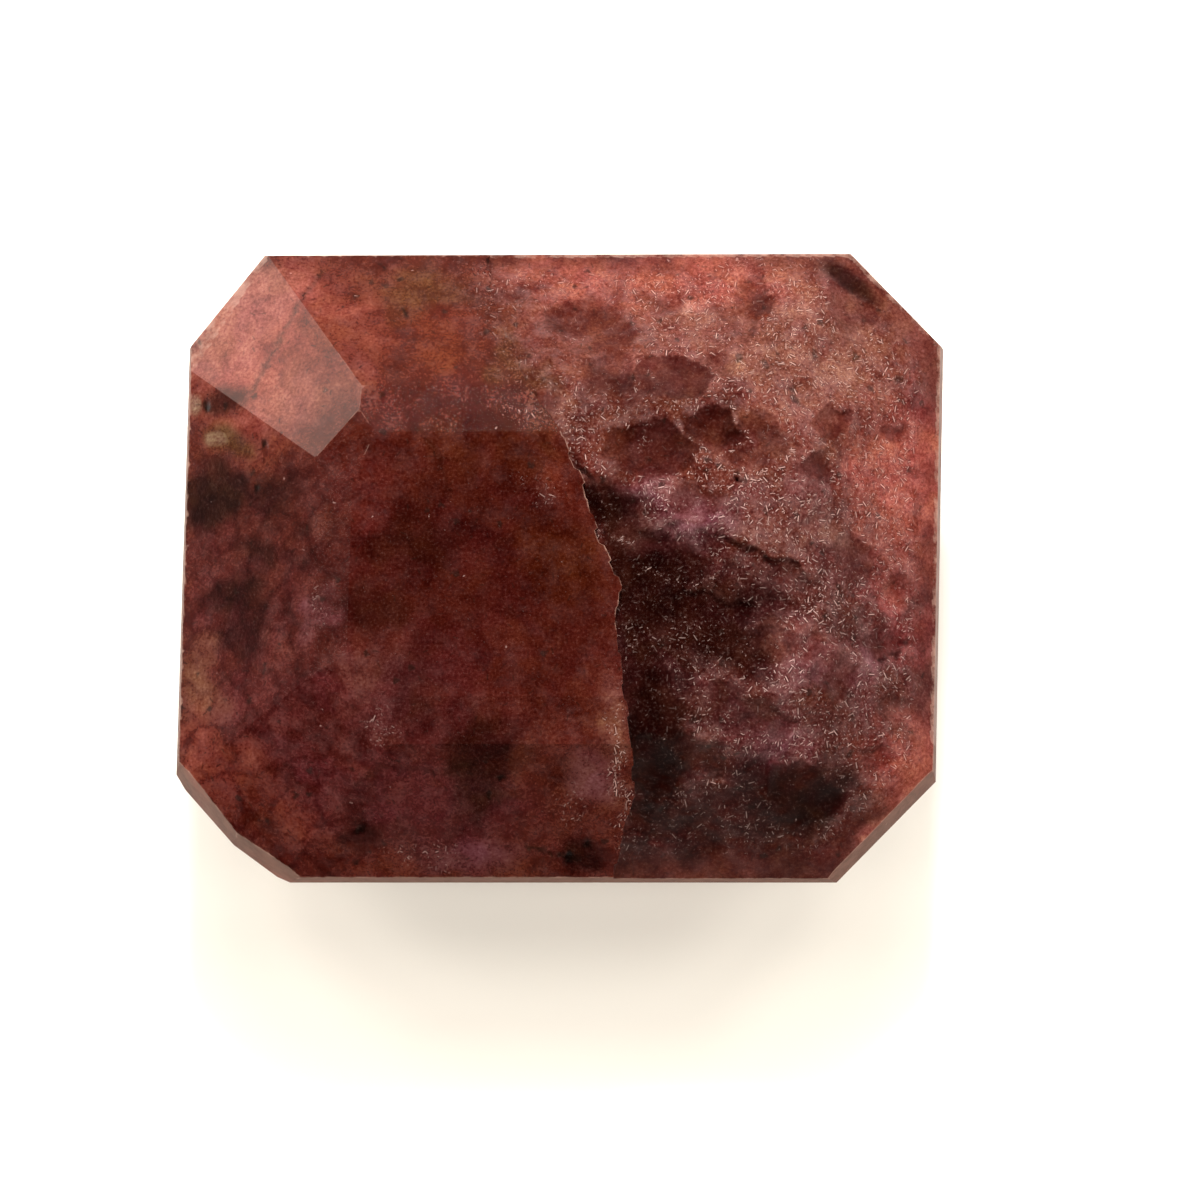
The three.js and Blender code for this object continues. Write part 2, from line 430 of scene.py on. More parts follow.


# Colour: places seen from above, each one a patch of the same stone with more or less oxide and grain, and
# beside the crack some painted shade
toneHex = {
    "brick": "#743528", "wine": "#521c15", "umber": "#2a0d07", "oxide": "#2c170e", "russet": "#52200c",
    "rust": "#7c3522", "rose": "#c36b5a", "salmon": "#d88b7c", "tan": "#a16b58", "olive": "#6c4828",
    "mauve": "#6f3c38", "lilac": "#925b62", "plum": "#300f09", "crimson": "#923e3c", "pink": "#c66c5e",
    "clay": "#995a4d", "cocoa": "#5f2a20", "cream": "#b49a80", "dusk": "#723437", "ash": "#8e5a54",
}
tonePatches = [  # x, y, half length, half width, turn, tone, strength
    (-1.2, -0.3, 2.7, 2.5, 0, "wine", 0.95),  # the polished side
    (-3.0, -2.7, 2.1, 1.7, 0, "dusk", 0.75),
    (-4.3, -0.6, 1.1, 1.8, 0, "dusk", 0.45),
    (-1.6, -3.5, 1.4, 0.6, 0, "dusk", 0.7),
    (-1.8, 3.0, 2.4, 1.0, 0, "rust", 0.95),
    (-3.8, 2.6, 1.4, 1.2, 40, "rose", 0.95),
    (-4.1, 3.2, 0.9, 0.5, 50, "salmon", 0.6),
    (-3.2, 2.2, 0.6, 0.7, 40, "clay", 0.5),
    (-1.8, 3.45, 0.9, 0.45, 0, "olive", 0.55),
    (-4.5, 0.75, 0.5, 0.5, 0, "oxide", 0.85),
    (-4.3, 1.5, 0.38, 0.2, -20, "olive", 0.9),
    (-4.5, 1.52, 0.14, 0.08, -15, "cream", 0.8),
    (-4.4, 2.0, 0.4, 0.22, 10, "umber", 0.75),
    (-4.8, 2.0, 0.08, 0.14, 0, "cream", 0.7),
    (-4.35, -0.5, 0.4, 0.3, 0, "umber", 0.7),
    (-4.0, 0.0, 0.25, 0.3, 0, "umber", 0.6),
    (-4.3, -1.15, 0.25, 0.2, 0, "umber", 0.5),
    (-3.75, 0.7, 0.4, 0.4, 0, "umber", 0.55),
    (-4.7, -1.7, 0.3, 0.8, 0, "tan", 0.7),
    (-4.8, -2.7, 0.35, 0.7, 0, "rose", 0.6),
    (-3.15, -1.0, 0.2, 0.45, -20, "lilac", 0.5),
    (-2.4, -1.75, 0.5, 0.4, 0, "mauve", 0.6),
    (-2.4, -2.3, 0.4, 0.25, 0, "mauve", 0.5),
    (-2.4, -0.85, 0.5, 0.35, 0, "umber", 0.55),
    (-2.5, 0.7, 0.6, 0.6, 0, "crimson", 0.2),
    (-1.6, 0.1, 0.5, 0.4, 0, "umber", 0.45),
    (-0.8, 1.2, 0.9, 0.4, -20, "russet", 0.5),
    (0.0, -0.4, 0.6, 0.9, 15, "russet", 0.7),
    (0.05, 0.95, 0.22, 0.6, 20, "rust", 0.5),
    (0.65, -2.4, 0.17, 0.9, 5, "tan", 0.6),
    (0.45, -2.95, 0.35, 0.3, 0, "lilac", 0.6),
    (-0.9, -2.4, 0.7, 0.5, 0, "umber", 0.75),
    (-1.1, -3.0, 0.5, 0.45, 0, "oxide", 0.7),
    (-0.3, -2.5, 0.35, 0.5, 0, "brick", 0.5),
    (-2.6, -3.7, 0.35, 0.3, 0, "umber", 0.7),
    (-1.2, -3.9, 0.8, 0.25, 0, "lilac", 0.7),
    (-4.0, -3.35, 0.35, 0.25, 0, "russet", 0.6),
    (0.3, -3.8, 0.4, 0.25, 0, "umber", 0.8),
    (2.4, 2.7, 3.4, 1.7, 0, "clay", 1.0),  # the broken side
    (2.6, -1.4, 3.0, 2.4, 0, "mauve", 1.0),
    (1.1, 3.65, 2.4, 0.4, 0, "rose", 0.75),
    (0.4, 3.0, 0.9, 0.5, 0, "rust", 0.6),
    (3.2, 2.8, 1.4, 0.9, 0, "tan", 0.8),
    (1.4, 1.7, 1.3, 0.6, 0, "cocoa", 0.85),
    (0.5, 1.75, 0.4, 0.5, 15, "mauve", 0.8),
    (2.9, 0.5, 0.9, 0.6, 0, "ash", 0.7),
    (4.5, 1.0, 0.8, 1.3, 0, "pink", 0.95),
    (1.4, 0.5, 0.95, 0.42, -14, "lilac", 0.95),
    (1.6, -0.7, 1.35, 0.95, -8, "plum", 0.95),
    (1.2, -2.4, 0.75, 1.6, 5, "plum", 0.95),
    (2.7, -3.4, 1.5, 0.8, 0, "plum", 0.9),
    (3.3, -3.2, 0.5, 0.6, 10, "oxide", 0.75),
    (3.4, -1.4, 0.8, 0.7, 0, "lilac", 0.6),
    (4.5, -0.95, 0.5, 0.4, 0, "crimson", 0.7),
    (4.5, -2.6, 0.7, 0.6, 0, "pink", 0.75),
    (4.22, -3.5, 0.8, 0.17, 46, "salmon", 0.8),
    (2.45, 3.3, 0.3, 0.55, -12, "rust", 1.0),
    (4.68, 2.05, 0.2, 0.45, 0, "crimson", 0.6),
    (1.95, 1.52, 0.35, 0.33, 20, "russet", 0.6),
    # the dark band right of the crack: its own darker colour, with painted shade in the hollow
    (0.62, 0.55, 0.55, 0.4, -38, "umber", 0.95),
    (1.0, -0.2, 0.5, 0.9, 12, "umber", 0.85),
    (1.05, -2.2, 0.35, 1.0, 5, "umber", 0.8),
    (2.2, -2.2, 0.6, 0.3, 10, "mauve", 0.8),
    (3.0, -2.4, 0.6, 0.3, 20, "lilac", 0.7),
    (2.1, -1.6, 0.4, 0.25, 0, "cocoa", 0.6),
    (3.88, 3.68, 0.5, 0.16, -38, "oxide", 0.8),
    (1.8, -1.2, 0.4, 0.35, 0, "plum", 0.8),
    (0.75, 2.0, 0.35, 0.3, 0, "cocoa", 0.6),
    (-2.1, -0.1, 0.4, 0.4, 0, "umber", 0.4),
    (-1.85, -3.7, 0.5, 0.3, 0, "mauve", 0.6),
    (-4.05, -0.85, 0.3, 0.5, 10, "umber", 0.5),
    (3.1, -1.2, 0.45, 0.3, 0, "clay", 0.6),
    (3.9, -0.85, 0.35, 0.35, 0, "cocoa", 0.7),
    (-0.42, 2.35, 0.2, 0.95, 26, "olive", 0.7),
    (-0.5, 2.3, 0.2, 0.95, 26, "olive", 0.6),
    (-0.05, 1.75, 0.14, 0.4, 30, "tan", 0.6),
    (1.15, 1.27, 0.5, 0.3, -8, "wine", 0.5),
    (-2.75, 2.6, 0.45, 0.4, 0, "rust", 0.55),
    (0.3, 1.75, 0.3, 0.35, 0, "cocoa", 0.8),
    (2.6, 1.75, 0.35, 0.3, 0, "clay", 0.45),
    (1.1, 0.2, 0.45, 0.3, 0, "mauve", 0.5),
    (2.25, 0.15, 0.75, 0.25, -8, "cocoa", 0.6),
    (1.85, 0.2, 0.4, 0.25, -8, "plum", 0.35),
    (4.15, -0.5, 0.4, 0.4, 0, "crimson", 0.6),
    (4.2, -0.5, 0.35, 0.3, 0, "pink", 0.4),
    (2.6, 3.2, 0.35, 0.35, 0, "rust", 0.35),
    (2.1, -1.4, 0.75, 0.4, 0, "plum", 0.75),
    (2.2, -2.1, 0.7, 0.3, 0, "plum", 0.45),
    (2.6, -2.85, 0.45, 0.35, 0, "plum", 0.75),
    (3.4, -2.05, 0.4, 0.35, 0, "cocoa", 0.85),
    (-1.95, -1.7, 0.3, 0.75, 0, "umber", 0.4),
    (-3.9, -3.2, 0.9, 0.6, -40, "rust", 0.5),
    (-2.6, -4.0, 1.2, 0.25, 0, "rust", 0.45),
    (-4.3, -2.75, 0.5, 0.45, 0, "rose", 0.35),
    (-3.5, -3.5, 0.6, 0.4, -40, "rose", 0.2),
]

glintPatches = [  # where cleaved grains sparkle, drawn as pale strokes that are partly painted glints: x, y, half length, half width, turn, amount
    (1.55, 0.55, 0.75, 0.3, -10, 1.0),
    (1.05, 0.85, 0.35, 0.2, -30, 0.7),
    (2.5, 0.9, 0.5, 0.6, 0, 0.9),
    (3.0, 0.4, 0.9, 0.8, 0, 0.65),
    (3.2, -0.6, 0.7, 0.8, 0, 0.8),
    (2.0, -0.3, 0.9, 0.35, -15, 0.55),
    (2.9, -1.5, 1.0, 0.7, 0, 0.7),
    (1.6, -1.3, 0.7, 0.8, 0, 0.3),
    (3.2, -2.4, 0.9, 0.6, 0, 0.6),
    (0.5, 1.9, 0.5, 0.5, 0, 0.55),
    (2.9, 2.3, 1.2, 0.8, 0, 0.45),
    (2.3, 1.5, 0.12, 0.4, 10, 0.9),
    (3.9, 1.2, 0.5, 0.8, 0, 0.4),
    (4.0, -2.3, 0.6, 0.7, 0, 0.5),
    (0.78, -2.9, 0.13, 1.2, 4, 0.85),
    (0.15, 1.45, 0.12, 0.5, 28, 0.8),
    (-0.45, 1.72, 0.5, 0.12, -25, 0.55),
    (-0.2, 0.75, 0.4, 0.25, -20, 0.35),
    (-1.75, -3.85, 0.6, 0.25, 0, 0.45),
    (0.15, -3.3, 0.4, 0.25, 0, 0.4),
    (-3.15, -0.8, 0.12, 0.4, -15, 0.45),
    (-2.35, -2.3, 0.3, 0.25, 0, 0.5),
    (2.6, 3.9, 1.2, 0.2, 0, 0.5),
]


def glintOf(points, broken):
    spots = points + warpOf(points, 0.35, 0.2, 6)
    amount = broken * 0.55 * smoothStep(3.2, 3.5, points[:, 2])
    for *patch, strength in glintPatches:
        amount = np.maximum(amount, strength * smoothStep(1.3, 0.3, ellipse(spots[:, 0], spots[:, 1], patch)))
    # The back end of the crack sparkles less
    quiet = smoothStep(1.2, 0.5, ellipse(spots[:, 0], spots[:, 1], (0.2, 3.0, 1.0, 0.9, 0)))
    return amount * smoothStep(3.0, 3.4, points[:, 2]) * (1 - 0.65 * quiet)


veins = [  # dark hairlines: strength, then the points they run through
    (0.6, [(-3.13, 3.79), (-3.36, 3.42), (-3.67, 2.83), (-4.03, 2.11)]),
    (0.9, [(-0.42, -3.78), (-0.2, -3.83), (0.02, -3.88), (0.2, -3.93)]),
    (0.35, [(-2.0, 1.75), (-1.6, 1.2), (-1.45, 0.7)]),
    (0.4, [(-2.75, -3.1), (-2.3, -2.8), (-1.5, -2.9), (-0.7, -2.6)]),
]
pits = [  # small black holes: x, y, half length, half width, turn
    (-0.755, -2.957, 0.06, 0.04, 30), (-0.924, -3.154, 0.05, 0.04, 0), (-2.607, -3.572, 0.07, 0.05, 20),
    (0.33, -3.75, 0.07, 0.06, 0), (0.1, -3.91, 0.08, 0.06, 0), (-2.05, 3.186, 0.035, 0.07, 15),
    (-3.838, 1.395, 0.035, 0.08, 10), (-2.32, 1.94, 0.03, 0.06, 5), (-3.95, 0.85, 0.03, 0.06, -10),
    (3.28, 2.64, 0.05, 0.09, 10), (3.84, 2.6, 0.05, 0.05, 0), (3.0, 2.12, 0.05, 0.05, 0),
    (4.42, 2.35, 0.07, 0.06, 0), (4.45, 2.06, 0.04, 0.03, 0), (2.68, 2.41, 0.05, 0.05, 0),
    (2.31, 2.53, 0.05, 0.06, 0), (4.03, 2.2, 0.05, 0.05, 0), (3.05, 1.97, 0.1, 0.06, -50),
    (4.55, -2.27, 0.04, 0.03, 0), (3.75, -2.6, 0.05, 0.04, 0), (-2.3, 3.85, 0.04, 0.03, 0),
    (-3.35, 3.45, 0.04, 0.03, 0), (-4.65, 2.0, 0.05, 0.09, 0), (2.35, 0.87, 0.06, 0.05, 0),
    (4.35, -1.25, 0.09, 0.05, 20), (4.15, -1.35, 0.06, 0.05, 0), (4.5, -1.1, 0.06, 0.05, 0),
]


def lineGap(x, y, line):
    gap = np.full(len(x), np.inf)
    for (x0, y0), (x1, y1) in zip(line, line[1:]):
        t = np.clip(((x - x0) * (x1 - x0) + (y - y0) * (y1 - y0)) / math.hypot(x1 - x0, y1 - y0) ** 2, 0, 1)
        gap = np.minimum(gap, np.hypot(x - x0 - t * (x1 - x0), y - y0 - t * (y1 - y0)))
    return gap


def grainOf(points, size, seed):
    # The grains of the stone: how near a point is to their joint, and a lot from -1 to 1 for each grain
    spots = points / size + seed
    found = [noise.voronoi(Vector(spot)) for spot in spots]
    joint = np.array([away[1] - away[0] for away, centres in found])
    lot = np.array([noise.cell(centres[0] * 23.7) for away, centres in found])
    hueLot = np.array([noise.cell(centres[0] * 41.3) for away, centres in found])
    return joint, lot, hueLot


def toneOf(points, side, crack, shade, crestHighlight):
    tones = {name: np.array(linear(value)[:3]) for name, value in toneHex.items()}
    colour = np.tile(tones["brick"], (len(points), 1))
    rng = np.random.default_rng(stone["seed"])
    fine = warpOf(points, 0.25, 0.2, 5)
    broad = warpOf(points, 0.8, 0.4, 4) + fine
    spots = points + broad
    under = smoothStep(3.3, 2.4, points[:, 2])  # the girdle and the back
    for i in range(stone["hiddenTones"]):  # the sides and the base carry the same mix of tones
        spot = rng.uniform((-5, -4, 0), (5, 4, 3.2))
        size = rng.uniform(0.5, 1.5)
        away = np.linalg.norm(spots - spot, axis=1) / size
        share = smoothStep(1.1, 0.4, away) * under * rng.uniform(0.4, 0.9)
        name = rng.choice(["wine", "rose", "brick", "tan", "mauve", "plum", "salmon", "olive", "umber"])
        colour += share[:, None] * (tones[name] - colour)

    # A patch keeps to its own side of the crack
    for *patch, name, strength in tonePatches:
        right = patch[0] > np.interp(patch[1], crack[:, 0], crack[:, 1])
        spots = points + broad * np.clip(patch[3] / 0.5, 0.3, 1.1)
        crispness = 0.2 * smoothStep(0.8, 0.3, patch[3])  # small patches have clear edges
        away = ellipse(spots[:, 0], spots[:, 1], patch)
        share = smoothStep(1.35 - 0.3 * crispness, 0.2 + crispness, away) * strength * (1 - under)
        share *= side if right else 1 - side
        colour += share[:, None] * (tones[name] - colour)
    for size, share in ((0.62, 1 - side), (0.34, side)):
        joint, lot, hueLot = grainOf(points + 0.7 * fine, size, 3.7)
        left = smoothStep(-2.2, -3.2, points[:, 0]) * smoothStep(1.6, 0.6, points[:, 1])
        network = 0.2 + 0.3 * left
        light = 0.95 + 0.2 * lot - network * smoothStep(0.2, 0.03, joint)
        tint = np.column_stack([light ** 0.6, light * (1 - 0.03 * hueLot), light * (1 + 0.06 * hueLot)])
        colour *= 1 + share[:, None] * (tint - 1)
    colour *= 1 - shade[:, None] * (0.85, 1.05, 1.05)  # a scoop is a deeper red, darkened further by painted shade; a painted highlight makes its rim paler
    colour *= 1 + crestHighlight[:, None] * (0.35, 0.6, 0.65)
    crisp = points + 0.15 * fine + warpOf(points, 0.06, 0.05, 8)
    for strength, line in veins:
        share = strength * np.exp(-(lineGap(crisp[:, 0], crisp[:, 1], line) / 0.032) ** 2) * (1 - under)
        colour += share[:, None] * (tones["oxide"] - colour)
    for pit in pits:
        away = ellipse(crisp[:, 0], crisp[:, 1], pit)
        share = (0.9 - 0.25 * side) * smoothStep(1.3, 0.6, away) * (1 - under)
        colour += share[:, None] * (tones["oxide"] * 0.4 - colour)
    return colour


def dentPits(points):
    crown = np.flatnonzero(points[:, 2] > stone["crownFoot"])
    for pit in pits:
        away = ellipse(points[crown, 0], points[crown, 1], pit)
        points[crown, 2] -= 0.15 * pit[3] * np.maximum(0, 1 - (away / 1.3) ** 2)


def brokenShare(points, broken, crack):
    # Near the back edge the crack has closed, and one side passes softly into the other
    fine = warpOf(points, 0.25, 0.2, 5)
    beside = points[:, 0] - np.interp(points[:, 1], crack[:, 0], crack[:, 1])
    closed = smoothStep(1.3, 2.4, points[:, 1]) * smoothStep(3.1, 3.4, points[:, 2])
    return broken + closed * (smoothStep(-0.7, 0.6, beside + fine[:, 0]) - broken)


def setValues(mesh, name, values, kind="FLOAT", domain="POINT"):
    attribute = mesh.attributes.new(name, kind, domain)
    field = "color" if kind == "FLOAT_COLOR" else "value"
    attribute.data.foreach_set(field, np.ravel(values).astype(bool if kind == "BOOLEAN" else np.float32))


def edgeWearAndHighlight(points, used, sharp, ends):
    # Pale edges, partly wear and chips and partly painted highlight where edges catch the light: round the
    # bright corner facet, along the outline and along the crack
    wornAndLit = np.zeros(len(points))
    crisp = np.isin(np.arange(len(points)), ends[sharp])
    x, y, z = points.T
    corner = crisp & used["polished"] & (x > -4.2) & (x < -2.45) & (y > 1.15) & (y < 2.6) & (x + y > -1.95)
    wornAndLit[corner] = 0.6
    rimTop = np.where(used["broken"], stone["brokenRim"], stone["polishedRim"])
    wornAndLit[(used["polished"] | used["broken"]) & (z < rimTop) & (y > stone["frontY"])] = 0.63
    wornAndLit[crisp & used["girdle"] & (z > 3.0)] = 0.75
    crackEdge = used["wall"] & used["polished"]
    wornAndLit[crackEdge & (y < 1.5) & (y > -1.1)] = 0.75
    wornAndLit[crackEdge & (y < -1.1) & (y > -3.4)] = 0.55
    return wornAndLit


def makeStone():
    points, triangles, kinds, planes, crack = gridStone(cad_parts["rhodonite"])
    print("stone: grid of", len(points), "points and", len(triangles), "triangles")
    used = {kind: np.isin(np.arange(len(points)), triangles[kinds == kind]) for kind in set(kinds)}
    broken = used["broken"].astype(float)
    hidden = np.flatnonzero(used["wall"] & ~used["broken"] & ~used["polished"])
    top = heights(points[hidden], planes["polished"]).min(1)
    foot = heights(points[hidden], planes["broken"]).min(1)
    broken[hidden] = np.clip((top - points[hidden, 2]) / (top - foot), 0, 1)
    mesh = bpy.data.meshes.new("rhodonite_stone")
    mesh.from_pydata((points * mm).tolist(), [], triangles.tolist())
    mesh.polygons.foreach_set("use_smooth", [True] * len(triangles))
    mesh.set_sharp_from_angle(angle=math.radians(stone["edgeAngle"]))
    ends = np.zeros(len(mesh.edges) * 2, int)
    mesh.edges.foreach_get("vertices", ends)
    sharp = np.zeros(len(mesh.edges), bool)
    mesh.attributes["sharp_edge"].data.foreach_get("value", sharp)
    unpolished = (broken > 0.5) & (points[:, 2] > stone["crownFoot"])
    sharp &= ~unpolished[ends.reshape(-1, 2)].all(1)
    mesh.attributes["sharp_edge"].data.foreach_set("value", sharp)

    rim = edgeWearAndHighlight(points, used, sharp, ends.reshape(-1, 2))
    smooth, crestHighlight, shade = carveBreak(points, broken, crack, planes)
    side = brokenShare(points, broken, crack)
    tone = toneOf(points, side, crack, shade, crestHighlight)
    dentPits(points)
    print("stone: break carved, pits dented, tones mixed")
    mesh.vertices.foreach_set("co", (points * mm).ravel())
    sugar = side * (1 - smooth) * smoothStep(3.2, 3.45, points[:, 2])
    pale = smoothStep(0.02, 0.16, tone[:, 0])  # dark stone shows little bloom and few grain edges
    lit = 0.5 + 0.5 * pale
    glint = np.maximum(glintOf(points, side) * (1 - 0.9 * smooth) * lit, 0.95 * crestHighlight * lit)
    setValues(mesh, "rough", np.isin(kinds, ["broken", "wall", "girdle"]), "BOOLEAN", "FACE")
    setValues(mesh, "lapped", kinds == "pavilion", "BOOLEAN", "FACE")
    setValues(mesh, "sugar", sugar)
    setValues(mesh, "glint", glint)
    setValues(mesh, "rim", rim)
    # the girdle's sides and back take the paler colour, a painted reflection of the white floor
    front = points[triangles].mean(1)[:, 1] < stone["frontY"]
    edging = np.where(front[:, None], linear(stone["frontEdgeHex"]), linear(stone["sideEdgeAndReflectionHex"]))
    edging[:, 3] = stone["edgingShare"] * (kinds == "girdle")
    setValues(mesh, "edging", edging, "FLOAT_COLOR", "FACE")
    setValues(mesh, "tone", np.column_stack([tone, pale]), "FLOAT_COLOR")  # how pale rides in the alpha
    mesh.update()
    piece = bpy.data.objects.new("rhodonite_stone", mesh)
    bpy.context.scene.collection.objects.link(piece)
    return piece


# Grain: the sugary relief of the break and the faint waves that hand polishing leaves
grain = {
    "Grain Size": 0.1,
    "Grain Depth": 0.016,
    "Fine Size": 0.05,
    "Fine Depth": 0.008,
    "Wave Size": 0.5,
    "Wave Depth": 0.0012,
    "Seed": 3.0,
}


def addGrain(piece, polishedStone, lappedStone, roughStone):
    tree = bpy.data.node_groups.new("stoneGrain", "GeometryNodeTree")
    stones = {"Polished": polishedStone, "Lapped": lappedStone, "Rough": roughStone}
    sockets = {"Geometry": "NodeSocketGeometry", **{name: "NodeSocketMaterial" for name in stones}}
    for name in [*sockets, *grain]:
        tree.interface.new_socket(name, in_out="INPUT", socket_type=sockets.get(name, "NodeSocketFloat"))
    tree.interface.new_socket("Geometry", in_out="OUTPUT", socket_type="NodeSocketGeometry")
    given = addNode(tree, "NodeGroupInput").outputs
    place = addNode(tree, "GeometryNodeInputPosition").outputs[0]
    normal = addNode(tree, "GeometryNodeInputNormal").outputs[0]
    sugar = addNode(tree, "GeometryNodeInputNamedAttribute", {"Name": "sugar"}, data_type="FLOAT").outputs[0]
    cellScale = addNode(tree, "ShaderNodeMath", {0: 1 / mm, 1: given["Grain Size"]}, operation="DIVIDE")
    cells = addNode(tree, "ShaderNodeTexVoronoi", {
        "Vector": place, "W": given["Seed"], "Scale": cellScale.outputs[0],
    }, voronoi_dimensions="4D")
    dome = addNode(tree, "ShaderNodeMath", {0: 0.4, 1: cells.outputs["Distance"]}, operation="SUBTRACT")
    domeRise = addNode(tree, "ShaderNodeMath", {
        0: dome.outputs[0], 1: given["Grain Depth"],
    }, operation="MULTIPLY")
    fineScale = addNode(tree, "ShaderNodeMath", {0: 1 / mm, 1: given["Fine Size"]}, operation="DIVIDE")
    fine = addNode(tree, "ShaderNodeTexNoise", {
        "Vector": place, "W": given["Seed"], "Scale": fineScale.outputs[0], "Detail": 2.0,
    }, noise_dimensions="4D")
    fineMid = addNode(tree, "ShaderNodeMath", {0: fine.outputs[0], 1: 0.5}, operation="SUBTRACT")
    bumps = addNode(tree, "ShaderNodeMath", {
        0: fineMid.outputs[0], 1: given["Fine Depth"], 2: domeRise.outputs[0],
    }, operation="MULTIPLY_ADD")
    bumpsRise = addNode(tree, "ShaderNodeMath", {0: bumps.outputs[0], 1: sugar}, operation="MULTIPLY")
    waveScale = addNode(tree, "ShaderNodeMath", {0: 1 / mm, 1: given["Wave Size"]}, operation="DIVIDE")
    wave = addNode(tree, "ShaderNodeTexNoise", {
        "Vector": place, "W": given["Seed"], "Scale": waveScale.outputs[0], "Detail": 2.0,
    }, noise_dimensions="4D")
    waveMid = addNode(tree, "ShaderNodeMath", {0: wave.outputs[0], 1: 0.5}, operation="SUBTRACT")
    rise = addNode(tree, "ShaderNodeMath", {
        0: waveMid.outputs[0], 1: given["Wave Depth"], 2: bumpsRise.outputs[0],
    }, operation="MULTIPLY_ADD")
    metres = addNode(tree, "ShaderNodeMath", {0: rise.outputs[0], 1: mm}, operation="MULTIPLY")
    push = addNode(tree, "ShaderNodeVectorMath", {0: normal, "Scale": metres.outputs[0]}, operation="SCALE")
    moved = addNode(tree, "GeometryNodeSetPosition", {
        "Geometry": given["Geometry"], "Offset": push.outputs[0],
    })
    real = addNode(tree, "GeometryNodeRealizeInstances", {"Geometry": moved.outputs[0]})
    dressed = addNode(tree, "GeometryNodeSetMaterial", {
        "Geometry": real.outputs[0], "Material": given["Polished"],
    })
    for name in ("Lapped", "Rough"):
        where = addNode(tree, "GeometryNodeInputNamedAttribute", {"Name": name.lower()}, data_type="BOOLEAN")
        dressed = addNode(tree, "GeometryNodeSetMaterial", {
            "Geometry": dressed.outputs[0], "Selection": where.outputs[0], "Material": given[name],
        })
    addNode(tree, "NodeGroupOutput", {0: dressed.outputs[0]})

    modifier = piece.modifiers.new("grain", "NODES")
    modifier.node_group = tree
    ids = {item.name: item.identifier for item in tree.interface.items_tree if item.in_out == "INPUT"}
    for name, value in {**stones, **grain}.items():
        modifier[ids[name]] = value
    depsgraph = bpy.context.evaluated_depsgraph_get()
    made = bpy.data.meshes.new_from_object(piece.evaluated_get(depsgraph), depsgraph=depsgraph)
    plain = piece.data
    piece.modifiers.remove(modifier)
    piece.data = made
    bpy.data.meshes.remove(plain)
    made.name = "rhodonite_stone"
    print("stone: grain added")


# Rhodonite: an opaque to waxy manganese silicate. One side of the crown is polished by hand and the other
# is broken, the girdle is ground and the back is only lapped. The polish gives the eye a soft gloss over
# deep mottled red, the lapped back a satin sheen, the break a pale sparkle of cleaved grains.
polishedFinish = {"name": "rhodonite, hand-polished", "roughness": 0.14, "specular": 0.5}
lappedFinish = {"name": "rhodonite, lapped", "roughness": 0.32, "specular": 0.25}
roughFinish = {"name": "rhodonite, broken and ground", "roughness": 0.75, "specular": 0.12}
surface = {
    "ior": 1.73,  # rhodonite is 1.71 to 1.75
    "cloudSize": 0.38,
    "cloudShade": (0.12, 0.53),  # darkest and lightest
    "grainSize": 0.04,  # the finest grains are too small to show, so they are drawn this coarse
    "polishGrain": (0.35, 1.6),  # darkest and lightest
    "breakGrain": (0.2, 1.75),
    "redPower": 0.6,  # red fades less than green and blue where the stone is dark
    "redLevel": 0.635,
    "hueSize": 0.5,
    "hueKept": 0.32,  # how far pale stone keeps away from either tint
    "speckSize": 0.19,
    "speckRarity": (0.9, 0.72),  # on the polish and on the break
    "bendSize": 0.07,  # how the specks are bent out of round
    "bendBy": 0.1,
    "bloomSize": 0.26,
    "bloomMost": (0.04, 0.14),  # on the polish and on the break
    "dotRarity": 0.88,
    "hazeMost": (0.06, 0.35),  # where grains sparkle least and most
    "edgeMix": 0.5,  # how far a grain edge is paler than the stone round it
    "strokes": [  # spacing, half width, half length, rarity on polish and break, how bright, how dark beside
        (0.13, 0.009, 0.05, 1.0, 0.1, 1.0, 0.8),
        (0.08, 0.008, 0.026, 1.0, 0.0, 0.9, 0.7),
        (0.05, 0.007, 0.014, 0.93, 0.0, 0.7, 0.4),
        (0.17, 0.005, 0.045, 0.5, 0.7, 0.0, 0.6),
    ],
    "brownTint": "#fff4dc",
    "mauveTint": "#ffe6fc",
    "oxideHex": "#170b08",
    "bloomHex": "#b08f90",
    "edgeHex": "#c2a8a4",
    "rimHex": "#a58579",
}


